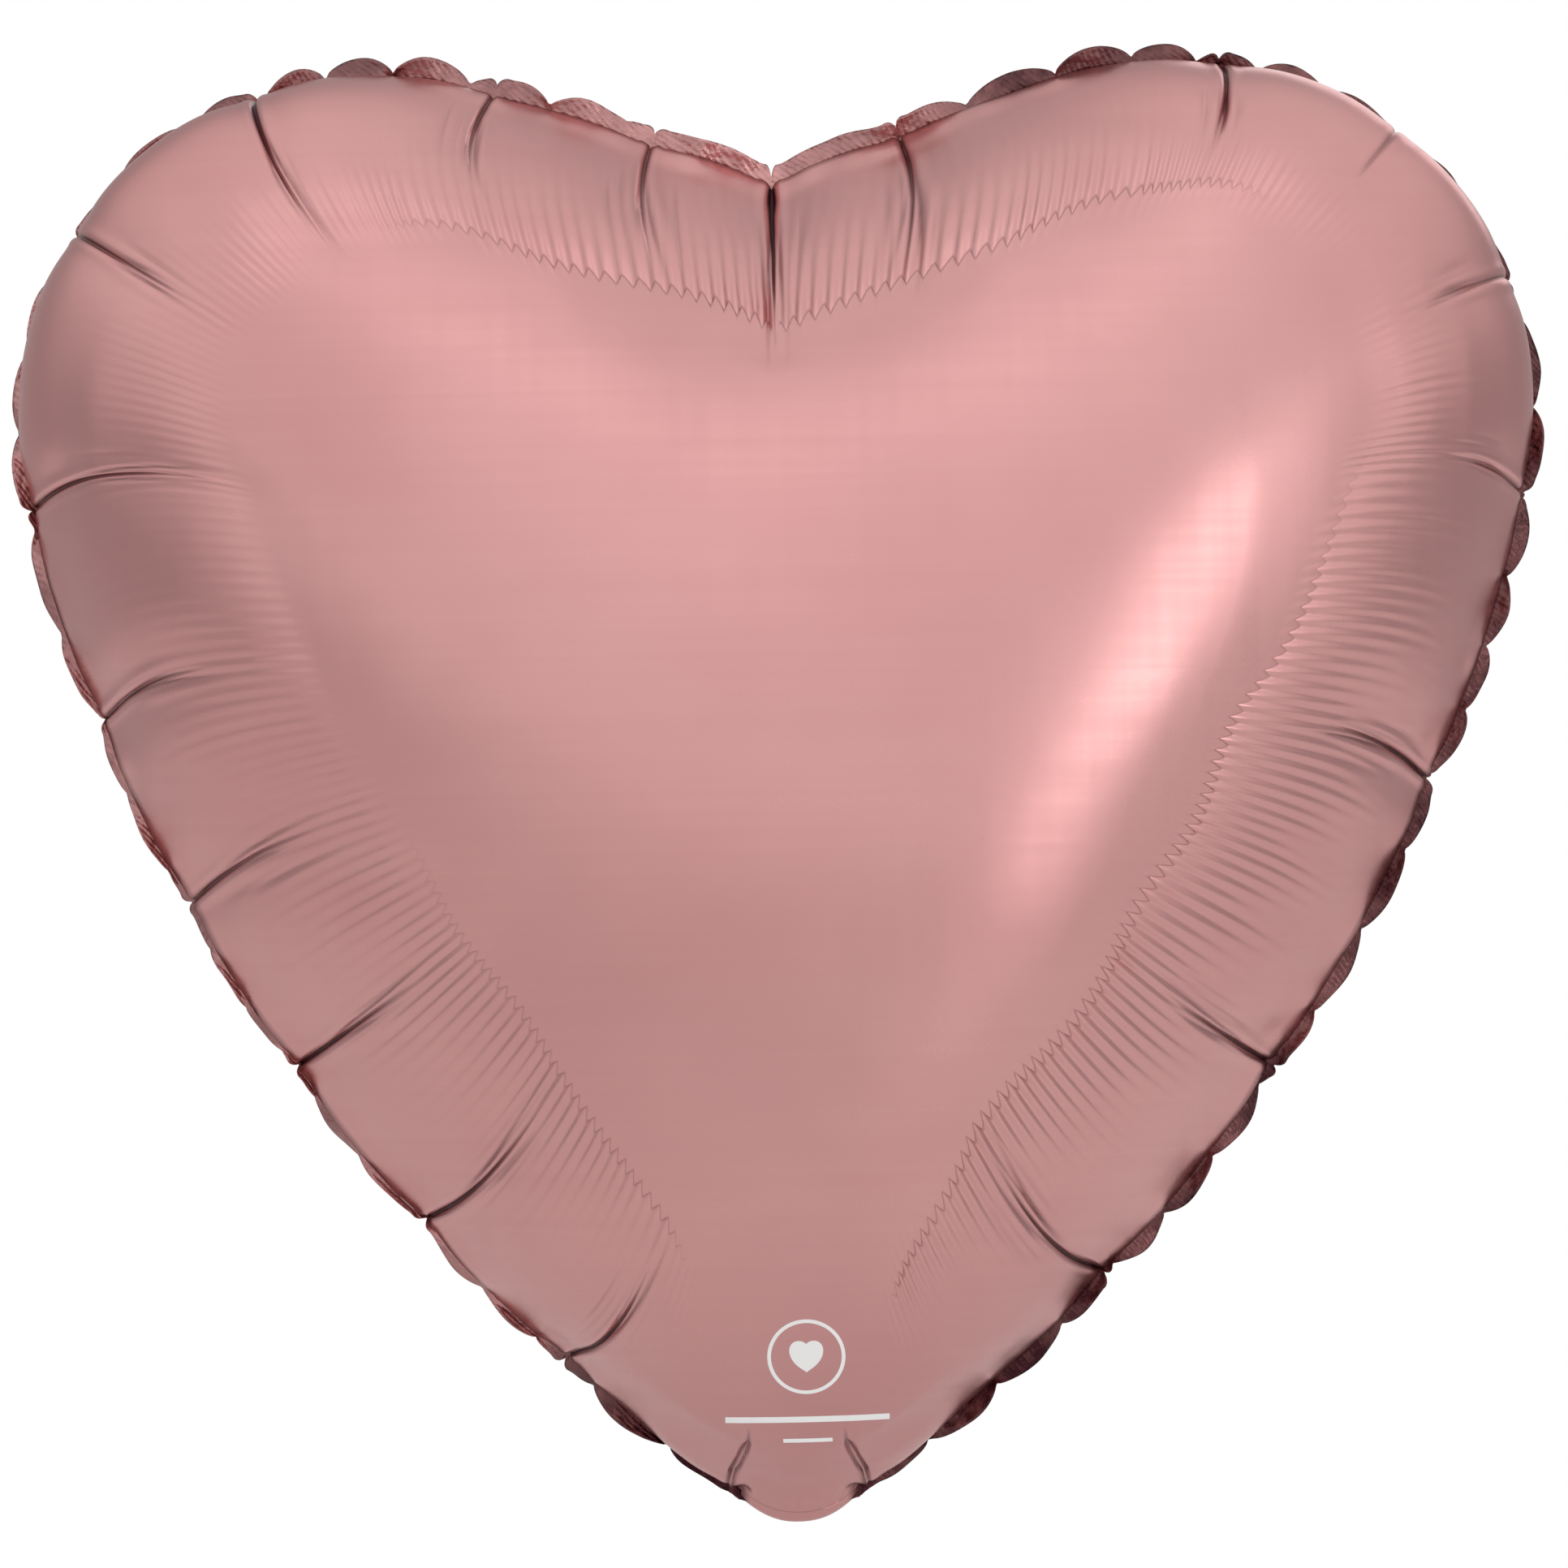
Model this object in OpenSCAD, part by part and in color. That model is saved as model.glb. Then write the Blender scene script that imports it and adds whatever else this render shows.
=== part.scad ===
// Heart-shaped foil balloon, shown filled, with its flat tail folded up behind it.
// Millimetres. +Z is up, the printed front faces -Y, and the origin is on the seam
// plane at the fold of the neck, where a ribbon is tied.

/* [Heart outline when filled] */
// Radius of each upper lobe, measured to the seam
lobe_radius = 90; // [84:1:94]
// Distance from the middle line to the centre of a lobe
lobe_offset = 95; // [90:1:100]
// Height of the lobe centres above the neck fold
lobe_height = 266; // [256:1:276]
// Height of the cleft between the lobes
cleft_height = 329; // [322:1:336]
// Angle below the horizontal where a lobe turns into the long side
side_angle = 15; // [10:1:20]

/* [Depth when filled] */
// Depth of the front, and of the back, from the seam plane
panel_depth = 95; // [85:1:105]
// Height of the deepest point above the neck fold
crown_height = 205; // [190:1:215]

/* [Film and welds] */
// Wall of the front and back panels, thicker than the real film
panel_wall = 0.8; // [0.6:0.1:1.2]
// One layer of film in the neck, valve and tail, thicker than the real film
film_wall = 0.4; // [0.3:0.1:0.5]
// Width of the welded rim that stands out past the panels
weld_width = 4.5; // [3:0.5:7]
// Height of the waves in the welded rim, to each side of the seam plane
weld_wave = 1.6; // [0:0.2:3]
// Number of waves around each half of the rim
weld_waves = 12; // [6:1:14]

/* [Valve] */
// Width of the two valve films
valve_width = 24; // [16:1:26]
// Length of the valve films inside the heart
valve_length = 100; // [60:5:130]

/* [Neck and tail] */
// Width of the neck and the tail
tail_width = 30; // [26:1:34]
// Height of the neck between its fold and the heart
neck_height = 8; // [6:1:10]
// Length of the tail between the neck fold and the crease across it
tail_root_length = 32; // [24:1:36]
// Length of the tail beyond that crease
tail_end_length = 50; // [30:1:55]
// Width of the weld along each side of the tail
tail_weld = 4; // [3:0.5:5]
// Slope of the tail's first stretch, up from the horizontal, when folded back
root_slope = 12; // [4:1:16]
// Extra bend at the crease, which lays the tail's end along the back panel
end_bend = 35; // [20:1:40]
// Radius of the ribbon hole near the tail's open end
hole_radius = 2.5; // [1.5:0.5:4]
// Distance of the ribbon hole's centre from the tail's open end
hole_inset = 9; // [7:1:12]

/* [Hidden] */

rose = [0.80, 0.60, 0.59];
rose_back = [0.74, 0.53, 0.52];
rose_dark = [0.42, 0.22, 0.23];
clear_film = [0.86, 0.86, 0.84];

half_stack = 2 * film_wall;          // four layers of film, from the seam plane outwards
fold_radius = half_stack;
fold_gap = 1.5;                      // from a fold's axis to the flat film on each side
valve_foot = 1.5;                    // gap between the neck's valve films and the moving ones
crown = [0, crown_height];
neck_half = tail_width / 2;

// ---- heart outline, as [x, z] points on the seam plane ----

lobe_centre = [lobe_offset, lobe_height];
neck_corner = [neck_half, neck_height];

// The side is one arc that leaves the lobe smoothly and ends at the neck's corner.
side_way = [cos(side_angle), -sin(side_angle)];
to_corner = neck_corner - lobe_centre;
side_extra = (to_corner * to_corner - lobe_radius * lobe_radius)
             / (2 * (lobe_radius - to_corner * side_way));
side_radius = lobe_radius + side_extra;
side_centre = lobe_centre - side_extra * side_way;
from_centre = neck_corner - side_centre;
side_end = atan2(from_centre[1], from_centre[0]);

// A straight edge runs from the cleft to where it touches the lobe.
to_cleft = [0, cleft_height] - lobe_centre;
touch_angle = atan2(to_cleft[1], to_cleft[0]) - acos(lobe_radius / norm(to_cleft));

lobe_steps = 22;
side_steps = 24;
edge_steps = 4;
neck_steps = 3;

function arc(centre, radius, from, to, steps) =
    [for (i = [1:steps]) let (a = from + (to - from) * i / steps) centre + radius * [cos(a), sin(a)]];
function line(from, to, steps) = [for (i = [0:steps - 1]) from + (to - from) * i / steps];

touch = lobe_centre + lobe_radius * [cos(touch_angle), sin(touch_angle)];
// From the cleft, over the right lobe and down the side to the neck's corner.
right_rim = concat(line([0, cleft_height], touch, edge_steps), [touch],
                   arc(lobe_centre, lobe_radius, touch_angle, -side_angle, lobe_steps),
                   arc(side_centre, side_radius, -side_angle, side_end, side_steps));
left_rim = [for (i = [len(right_rim) - 1:-1:1]) [-right_rim[i][0], right_rim[i][1]]];
neck_edge = [for (i = [1:neck_steps - 1]) neck_corner - [tail_width * i / neck_steps, 0]];
outline = concat(right_rim, neck_edge, left_rim);
columns = len(outline);

// ---- panels ----

panel_rows = 11;
crown_power = 2.2;                   // how long the crown stays flat
rim_power = 0.55;                    // how round the film turns in to the seam

function share(row) = cos(90 * row / panel_rows);
function depth_share(s) = pow(1 - pow(s, crown_power), rim_power);

// One skin of the front panel, drawn in from the true shape by the given amount.
function skin(inset) = concat(
    [for (row = [0:panel_rows - 1], point = outline)
        let (arm = point - crown, s = share(row) * (1 - inset / norm(arm)), flat = crown + arm * s)
        [flat[0], -half_stack - (panel_depth - inset) * depth_share(share(row)), flat[1]]],
    [[crown[0], -half_stack - (panel_depth - inset), crown[1]]]);

module panel() {
    outer = skin(0);
    inner = skin(panel_wall);
    n = len(outer);
    apex = n - 1;
    last = (panel_rows - 1) * columns;
    function next(i) = (i + 1) % columns;
    walls = [for (row = [0:panel_rows - 2], i = [0:columns - 1])
        let (a = row * columns + i, b = row * columns + next(i)) [a, b, b + columns, a + columns]];
    tops = [for (i = [0:columns - 1]) [last + i, last + next(i), apex]];
    edge = [for (i = [0:columns - 1]) [i, i + n, next(i) + n, next(i)]];
    cover = [for (q = walls, t = [[q[0], q[1], q[2]], [q[0], q[2], q[3]]]) t];
    outside = concat(cover, tops);
    inside = [for (t = outside) [t[0] + n, t[2] + n, t[1] + n]];
    rim = [for (q = edge, t = [[q[0], q[1], q[2]], [q[0], q[2], q[3]]]) t];
    polyhedron(points = concat(outer, inner), faces = concat(outside, inside, rim), convexity = 6);
}

module front_panel() { color(rose) panel(); }
module back_panel() { color(rose_back) mirror([0, 1, 0]) panel(); }

// ---- welded rim: an open band from one neck corner round to the other ----

band = concat(left_rim, right_rim);
flat_step = 1;                       // the band is flat this far outside the panels' edge

function way_out(i) =
    let (a = band[max(i - 1, 0)], b = band[min(i + 1, len(band) - 1)], t = b - a)
    [-t[1], t[0]] / norm(t);
function wave(i) = weld_wave * sin(360 * weld_waves * 2 * i / (len(band) - 1));
function band_ring(i) =
    let (p = band[i], arm = p - crown, out = way_out(i),
         in = p - arm * (panel_wall / norm(arm)), mid = p + out * flat_step,
         tip = p + out * weld_width, w = wave(i))
    [[in[0], -half_stack, in[1]], [mid[0], -half_stack, mid[1]], [tip[0], w - film_wall, tip[1]],
     [tip[0], w + film_wall, tip[1]], [mid[0], half_stack, mid[1]], [in[0], half_stack, in[1]]];

module rim_weld() {
    sides = 6;
    rings = len(band);
    points = [for (i = [0:rings - 1], p = band_ring(i)) p];
    skin_faces = [for (i = [0:rings - 2], k = [0:sides - 1])
        let (a = i * sides + k, b = i * sides + (k + 1) % sides)
        each [[a, b, b + sides], [a, b + sides, a + sides]]];
    caps = concat([[0, 5, 4], [0, 4, 1], [1, 4, 3], [1, 3, 2]],
                  [for (t = [[0, 4, 5], [0, 1, 4], [1, 3, 4], [1, 2, 3]])
                      [for (k = t) (rings - 1) * sides + k]]);
    color(rose_dark) polyhedron(points = points, faces = concat(skin_faces, caps), convexity = 6);
}

// ---- neck, valve and tail: flat films in four layers ----

// A flat film in the layer that starts at y = from, between two heights.
module film(width, from, low, high) {
    translate([-width / 2, from, low]) cube([width, film_wall, high - low]);
}

neck_top = neck_height + panel_wall;
neck_bottom = 0;
module neck_front() { color(rose) film(tail_width, -half_stack, neck_bottom, neck_top); }
module neck_back() { color(rose_back) film(tail_width, film_wall, neck_bottom, neck_top); }
module valve_neck_front() { color(clear_film) film(valve_width, -film_wall, neck_bottom, neck_top); }
module valve_neck_back() { color(clear_film) film(valve_width, 0, neck_bottom, neck_top); }

// The stack of films rolled round the fold's axis, with a flat seat for the neck.
module roll() {
    rotate([0, 90, 0]) cylinder(h = tail_width, r = fold_radius, center = true, $fn = 48);
}
module neck_fold() {
    color(rose_dark) difference() {
        roll();
        translate([-tail_width, -half_stack - 1, neck_bottom])
            cube([2 * tail_width, 2 * half_stack + 2, fold_radius + 1]);
    }
}

valve_bottom = neck_top + valve_foot;
valve_gap = 0.15;                    // keeps the closed valve films just clear of each other
module valve_film_front() {
    color(clear_film) film(valve_width, -film_wall - valve_gap, valve_bottom, valve_bottom + valve_length);
}
module valve_film_back() {
    color(clear_film) film(valve_width, valve_gap, valve_bottom, valve_bottom + valve_length);
}

// Places a tail part that is drawn hanging straight down from the neck fold.
module folded_root() { rotate([90 + root_slope, 0, 0]) children(); }
module folded_end() {
    folded_root() translate([0, 0, -tail_root_length]) rotate([end_bend, 0, 0]) children();
}

inner_width = tail_width - 2 * tail_weld;
root_top = -fold_gap;
root_bottom = -tail_root_length + fold_gap;
module tail_root_front() { color(rose) folded_root() film(inner_width, -half_stack, root_bottom, root_top); }
module tail_root_back() { color(rose_back) folded_root() film(inner_width, film_wall, root_bottom, root_top); }
module tail_root_valve_front() {
    color(clear_film) folded_root() film(inner_width, -film_wall, root_bottom, root_top);
}
module tail_root_valve_back() {
    color(clear_film) folded_root() film(inner_width, 0, root_bottom, root_top);
}

// The two side welds of a stretch of tail, from its low end to its high end.
module side_welds(thick, low, high) {
    for (side = [-1, 1])
        translate([side * (tail_width - tail_weld) / 2 - tail_weld / 2, -thick / 2, low])
            cube([tail_weld, thick, high - low]);
}
module tail_root_welds() { color(rose_dark) folded_root() side_welds(2 * half_stack, root_bottom, root_top); }
module tail_crease() {
    color(rose_dark) folded_root() translate([0, 0, -tail_root_length]) roll();
}

end_top = -fold_gap;
end_bottom = -tail_end_length;
module ribbon_hole() {
    translate([0, 0, end_bottom + hole_inset]) rotate([90, 0, 0])
        cylinder(h = 8, r = hole_radius, center = true, $fn = 64);
}
module end_film(from) {
    folded_end() difference() {
        film(inner_width, from, end_bottom, end_top);
        ribbon_hole();
    }
}
module tail_end_front() { color(rose) end_film(-film_wall); }
module tail_end_back() { color(rose_back) end_film(0); }
module tail_end_welds() { color(rose_dark) folded_end() side_welds(2 * film_wall, end_bottom, end_top); }

front_panel();
back_panel();
rim_weld();
neck_front();
neck_back();
neck_fold();
valve_neck_front();
valve_neck_back();
valve_film_front();
valve_film_back();
tail_root_front();
tail_root_back();
tail_root_valve_front();
tail_root_valve_back();
tail_root_welds();
tail_crease();
tail_end_front();
tail_end_back();
tail_end_welds();
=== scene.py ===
"""The looks of a filled, heart-shaped foil balloon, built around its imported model.

Lengths in this file are millimetres, but metres in names that end in _M or _m and in the lights
and materials. The seam of the heart lies in the plane y = 0, the front faces -Y, and the neck
folds at the origin. A place on the seam is its distance from the cleft, clockwise as seen from
the front.
"""
import math

import bpy
import numpy as np
from mathutils import Matrix, Vector


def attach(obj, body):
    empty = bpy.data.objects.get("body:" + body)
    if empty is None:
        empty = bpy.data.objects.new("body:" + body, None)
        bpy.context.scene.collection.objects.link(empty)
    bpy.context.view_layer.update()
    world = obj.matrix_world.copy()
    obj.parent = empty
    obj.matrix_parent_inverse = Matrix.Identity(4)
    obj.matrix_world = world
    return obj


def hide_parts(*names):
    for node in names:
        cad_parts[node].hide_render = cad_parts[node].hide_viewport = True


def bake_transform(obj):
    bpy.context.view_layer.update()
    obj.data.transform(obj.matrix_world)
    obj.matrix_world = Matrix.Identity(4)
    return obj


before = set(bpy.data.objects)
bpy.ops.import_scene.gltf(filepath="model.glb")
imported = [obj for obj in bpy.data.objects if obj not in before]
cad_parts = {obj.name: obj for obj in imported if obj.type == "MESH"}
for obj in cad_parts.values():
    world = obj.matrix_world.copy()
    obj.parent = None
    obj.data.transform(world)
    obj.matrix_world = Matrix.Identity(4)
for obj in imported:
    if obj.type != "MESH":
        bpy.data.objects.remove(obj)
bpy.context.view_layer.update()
MM = 0.001

# ---- sizes of the filled heart ----

LOBE_RADIUS = 90.0
LOBE_OFFSET = 95.0
LOBE_HEIGHT = 266.0
CLEFT_HEIGHT = 329.0
SIDE_ANGLE = math.radians(15)
NECK_HALF = 15.0
NECK_HEIGHT = 8.0
MIDDLE = np.array([0.0, 205.0])  # the rings of film shrink towards this x, z point
HALF_STACK = 0.8  # the neck's and tail's films, from their middle outwards

# How much larger the flat cut is than the filled heart. The slack makes the depth.
CUT_SCALE = 1.20

# ---- creases: share of the half seam from cleft to neck, length in view, strength ----

RIGHT_CREASES = [(0.058, 36, 0.9), (0.20, 20, 0.9), (0.28, 14, 0.45), (0.36, 22, 0.6),
                 (0.45, 22, 0.7), (0.58, 30, 1.0), (0.72, 36, 1.0), (0.835, 40, 1.0),
                 (0.972, 15, 1.0)]
LEFT_CREASES = [(0.054, 30, 0.8), (0.125, 24, 0.8), (0.227, 38, 1.0), (0.325, 32, 0.8),
                (0.445, 46, 0.9), (0.54, 30, 0.9), (0.627, 36, 0.9), (0.711, 34, 1.0),
                (0.797, 40, 1.0), (0.882, 32, 1.0), (0.972, 15, 1.0)]
CLEFT_CREASE = (0.0, 44, 1.1)

# ---- ripples beside the ridge: share of the half seam, height of the ripples ----

RIGHT_RIPPLES = [(0.0, 0.34), (0.17, 0.26), (0.21, 0.24), (0.26, 0.12), (0.35, 0.10), (0.46, 0.16),
                 (0.56, 0.22), (0.66, 0.34), (0.84, 0.36), (0.92, 0.24), (0.96, 0.0), (1.0, 0.0)]
LEFT_RIPPLES = [(0.0, 0.34), (0.13, 0.24), (0.20, 0.12), (0.34, 0.12), (0.44, 0.06), (0.54, 0.10),
                (0.64, 0.14), (0.72, 0.22), (0.88, 0.26), (0.92, 0.12), (0.96, 0.0), (1.0, 0.0)]
RIGHT_RIDGE = [(0.0, 38), (0.10, 38), (0.20, 30), (0.36, 36), (0.48, 44), (0.58, 52), (0.72, 50),
               (0.835, 48), (0.93, 34), (1.0, 20)]
LEFT_RIDGE = [(0.0, 38), (0.10, 38), (0.227, 40), (0.36, 46), (0.46, 56), (0.63, 58), (0.72, 56),
              (0.80, 52), (0.88, 44), (0.94, 32), (1.0, 20)]
RIPPLE_SPACING = 3.7
ZIGZAG = 2.2  # how far the ripples' ends reach past the ridge and back
ZIGZAG_POINT = 0.93  # how pointed the zigzag is: 1 is a sharp triangle wave
FULL_RIPPLE = 0.36  # height of a ripple that counts as full strength

# ---- welded rim: share of the half seam, width in view; share, painted dark reflection ----

RIGHT_RIM = [(0.0, 4.2), (0.15, 4.8), (0.30, 4.2), (0.50, 3.6), (0.75, 3.4), (0.93, 4.4), (1.0, 3.0)]
LEFT_RIM = [(0.0, 4.2), (0.12, 5.2), (0.30, 4.8), (0.42, 3.4), (0.54, 2.2), (0.72, 1.6), (0.85, 2.2),
            (0.93, 4.2), (1.0, 3.0)]
# painted dark reflection on the rim: least near the cleft, most on the right side and at the neck
RIGHT_RIM_PAINTED_SHADE = [(0.0, 0.05), (0.05, 0.3), (0.10, 0.85), (1.0, 1.0)]
LEFT_RIM_PAINTED_SHADE = [(0.0, 0.0), (0.10, 0.3), (0.16, 0.6), (0.28, 0.7), (0.36, 0.25), (0.60, 0.3),
                 (0.86, 0.4), (0.92, 1.0), (1.0, 1.0)]


def smooth(t):
    """0 below 0, 1 above 1, with a soft turn at each end."""
    t = np.clip(t, 0, 1)
    return t * t * (3 - 2 * t)


# ---- the seam ----

def arc(centre, radius, start, end, count):
    a = np.linspace(start, end, count)
    return np.stack([centre[0] + radius * np.cos(a), centre[1] + radius * np.sin(a)], 1)


def line(start, end, count):
    return np.linspace(start, end, count)


def half_seam():
    """x, z points of the right half of the seam, from the cleft to the middle of the neck."""
    lobe = np.array([LOBE_OFFSET, LOBE_HEIGHT])
    corner = np.array([NECK_HALF, NECK_HEIGHT])
    cleft = np.array([0.0, CLEFT_HEIGHT])
    to_cleft = cleft - lobe
    touch = math.atan2(to_cleft[1], to_cleft[0]) - math.acos(LOBE_RADIUS / math.hypot(*to_cleft))
    side_way = np.array([math.cos(SIDE_ANGLE), -math.sin(SIDE_ANGLE)])
    to_corner = corner - lobe
    extra = (to_corner @ to_corner - LOBE_RADIUS ** 2) / (2 * (LOBE_RADIUS - to_corner @ side_way))
    side_centre = lobe - extra * side_way
    from_centre = corner - side_centre
    side_end = math.atan2(from_centre[1], from_centre[0])
    touch_point = lobe + LOBE_RADIUS * np.array([math.cos(touch), math.sin(touch)])
    return np.concatenate([
        line(cleft, touch_point, 400)[:-1],
        arc(lobe, LOBE_RADIUS, touch, -SIDE_ANGLE, 1600)[:-1],
        arc(side_centre, LOBE_RADIUS + extra, -SIDE_ANGLE, side_end, 1600)[:-1],
        line(corner, np.array([0.0, NECK_HEIGHT]), 100)])


def closed_seam():
    right = half_seam()
    left = (right * [-1, 1])[::-1][1:]
    points = np.concatenate([right, left])
    steps = np.linalg.norm(np.diff(points, axis=0), axis=1)
    return points, np.concatenate([[0], np.cumsum(steps)])


SEAM_POINTS, SEAM_ALONG = closed_seam()
SEAM_LENGTH = SEAM_ALONG[-1]
HALF_LENGTH = SEAM_LENGTH / 2


def seam(at):
    """x, z points of the seam at places along it."""
    at = np.mod(at, SEAM_LENGTH)
    return np.stack([np.interp(at, SEAM_ALONG, SEAM_POINTS[:, k]) for k in (0, 1)], -1)


def seam_way(at, reach=3.0):
    """Unit vectors along the seam, clockwise."""
    step = seam(at + reach) - seam(at - reach)
    return step / np.linalg.norm(step, axis=-1, keepdims=True)


def seam_out(at):
    """Unit vectors out of the heart, square to the seam."""
    way = seam_way(at)
    return np.stack([-way[..., 1], way[..., 0]], -1)


def around(distance):
    """Wraps a distance along the seam to the nearer way round."""
    return np.mod(distance + HALF_LENGTH, SEAM_LENGTH) - HALF_LENGTH


def by_share(right, left, at):
    """Values given for shares of the right and left half seams, at places along the seam."""
    ahead = np.array([[s * HALF_LENGTH, v] for s, v in right])
    behind = np.array([[-s * HALF_LENGTH, v] for s, v in left])[::-1]
    knots = np.concatenate([behind, ahead])
    return np.interp(around(at), knots[:, 0], knots[:, 1])


def noise(at, seed, shortest, count=24):
    """Smooth, seamless noise along the seam, about -1 to 1, down to a shortest wavelength."""
    rng = np.random.default_rng(seed)
    most = SEAM_LENGTH / shortest
    value = 0
    for _ in range(count):
        turns = round(most * rng.uniform(0.25, 1.0))
        value = value + np.sin(2 * math.pi * (turns * at / SEAM_LENGTH + rng.random()))
    return value / math.sqrt(count)


# ---- inflating the film ----

CELLS = 64  # cells along each side of the middle block of film
COLUMNS = 4 * CELLS  # columns of film round the seam
RING_END = 0.5  # the rings stop at this share of the seam's size
RINGS = 30
FIRST_DEPTH = 84.0  # depth of the dome that the inflation starts from
FIRST_PUSH, LAST_PUSH = 0.01, 0.0012 # the gas pressure falls from one to the other
PUSH_FALL = 0.75  # over this share of the steps
SQUASH = 0.03  # how much of the film's shortening is undone in each pass
DAMPING = 0.95  # share of the speed that is kept from step to step
SPEED_CAP = 0.25  # most that a point moves in a step, in pitches of the columns


def flat_film():
    """x, z places of the film: rings that follow the seam, and a square block in the middle."""
    at = np.arange(COLUMNS) * SEAM_LENGTH / COLUMNS
    share = np.linspace(1, RING_END, RINGS + 1)[:, None, None]
    rings = MIDDLE + (seam(at) - MIDDLE) * share
    half = CELLS // 2
    sides = [np.arange(start, start + CELLS + 1) % COLUMNS
             for start in (-half, half, half + CELLS, half + 2 * CELLS)]
    top, right, low, left = sides[0], sides[1], sides[2][::-1], sides[3][::-1]
    edge = rings[-1]
    u = np.linspace(0, 1, CELLS + 1)[None, :, None]
    v = np.linspace(0, 1, CELLS + 1)[:, None, None]
    block = ((1 - v) * edge[top] + v * edge[low] + (1 - u) * edge[left][:, None]
             + u * edge[right][:, None]
             - (1 - u) * ((1 - v) * edge[top[0]] + v * edge[low[0]])
             - u * ((1 - v) * edge[top[-1]] + v * edge[low[-1]]))
    ring_ids = np.arange(rings.shape[0] * COLUMNS).reshape(-1, COLUMNS)
    block_ids = np.empty((CELLS + 1, CELLS + 1), int)
    inner = ring_ids[-1]
    block_ids[0], block_ids[-1] = inner[top], inner[low]
    block_ids[:, 0], block_ids[:, -1] = inner[left], inner[right]
    fresh = np.arange((CELLS - 1) ** 2).reshape(CELLS - 1, CELLS - 1)
    block_ids[1:-1, 1:-1] = ring_ids.size + fresh
    places = np.concatenate([rings.reshape(-1, 2), block[1:-1, 1:-1].reshape(-1, 2)])
    return places, ring_ids, block_ids


def grid_ids(grid, first=0):
    """Vertex numbers of a grid of points, from the first one on."""
    return first + np.arange(grid.shape[0] * grid.shape[1]).reshape(grid.shape[:2])


def quads_of(ids, closed):
    """The four-cornered faces of a grid of vertex numbers."""
    if closed:
        ids = np.concatenate([ids, ids[:, :1]], 1)
    return np.stack([ids[:-1, :-1], ids[:-1, 1:], ids[1:, 1:], ids[1:, :-1]], -1).reshape(-1, 4)


def apart(pairs, rest):
    """Splits the links into groups in which no two links share a vertex."""
    groups = []
    left = np.random.default_rng(1).permutation(len(pairs))
    while len(left):
        place = np.arange(len(left))
        first = np.full(pairs.max() + 1, len(left))
        np.minimum.at(first, pairs[left, 0], place)
        np.minimum.at(first, pairs[left, 1], place)
        free = (first[pairs[left, 0]] == place) & (first[pairs[left, 1]] == place)
        pick = left[free]
        groups.append((pairs[pick, 0], pairs[pick, 1], rest[pick][:, None]))
        left = left[~free]
    return groups


def inflate(steps):
    """Blows up one side of the balloon: film that can't stretch, held all round at the seam."""
    places, ring_ids, block_ids = flat_film()
    quads = np.concatenate([quads_of(ring_ids, True), quads_of(block_ids, False)])
    pairs = np.concatenate([quads[:, [0, 1]], quads[:, [1, 2]], quads[:, [2, 3]], quads[:, [3, 0]],
                            quads[:, [0, 2]], quads[:, [1, 3]]])
    pairs = np.unique(np.sort(pairs, 1), axis=0)
    rest = np.linalg.norm(places[pairs[:, 0]] - places[pairs[:, 1]], axis=1) * CUT_SCALE
    groups = apart(pairs, rest)
    count = len(places)
    held = ring_ids[0]
    x = np.stack([places[:, 0], np.zeros(count), places[:, 1]], 1)
    share = np.linspace(1, RING_END, RINGS + 1)
    x[ring_ids, 1] = -FIRST_DEPTH * np.sqrt(1 - share ** 2)[:, None]
    x[block_ids[1:-1, 1:-1], 1] = -FIRST_DEPTH
    fixed = x[held].copy()
    pitch = SEAM_LENGTH / COLUMNS
    speed = np.zeros_like(x)
    for step in range(steps):
        push = FIRST_PUSH * (LAST_PUSH / FIRST_PUSH) ** min(1, step / (PUSH_FALL * steps))
        corner = x[quads]
        twice_area = np.cross(corner[:, 3] - corner[:, 1], corner[:, 2] - corner[:, 0])
        lift = twice_area * (push / pitch / 8)
        force = np.stack([sum(np.bincount(quads[:, k], lift[:, c], count) for k in range(4))
                          for c in range(3)], 1)
        old = x
        x = x + speed * DAMPING + force
        for _ in range(2):
            for i, j, length in groups:
                gap = x[j] - x[i]
                now = np.sqrt(np.einsum("ij,ij->i", gap, gap))[:, None] + 1e-9
                over = now - length
                gap *= np.where(over > 0, over, over * SQUASH) * 0.5 / now
                x[i] += gap
                x[j] -= gap
            x[held] = fixed
        speed = x - old
        fast = np.sqrt(np.einsum("ij,ij->i", speed, speed))[:, None]
        speed *= np.minimum(1, SPEED_CAP * pitch / (fast + 1e-9))
    return x[ring_ids], x[block_ids]


# ---- resampling the film finely ----

def spline_weights(f):
    """What the four neighbours of a cubic B-spline weigh, at a share f of the way past the second."""
    return [(1 - f) ** 3 / 6, (3 * f ** 3 - 6 * f ** 2 + 4) / 6,
            (-3 * f ** 3 + 3 * f ** 2 + 3 * f + 1) / 6, f ** 3 / 6]


def with_ends(values):
    """Adds a row before the first and one after the last, on a straight line with them."""
    return np.concatenate([2 * values[:1] - values[1:2], values, 2 * values[-1:] - values[-2:-1]])


def spline(values, t):
    """Cubic B-spline through rows of values, at places t counted in rows."""
    i = np.minimum(np.floor(t).astype(int), len(values) - 2)
    f = (t - i).reshape([-1] + [1] * (values.ndim - 1))
    near = with_ends(values)
    return sum(w * near[i + k] for k, w in enumerate(spline_weights(f)))


def ring_surface(rings, row, place):
    """Points of the smooth surface through the rings, at rows and columns that may be fractions."""
    i = np.minimum(np.floor(row).astype(int), len(rings) - 2)
    j = np.floor(place).astype(int)
    near = with_ends(rings)
    total = 0
    for a, down in enumerate(spline_weights(row - i)):
        for b, across in enumerate(spline_weights(place - j)):
            total = total + (down * across)[..., None] * near[i + a, (j + b - 1) % COLUMNS]
    return total


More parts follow.
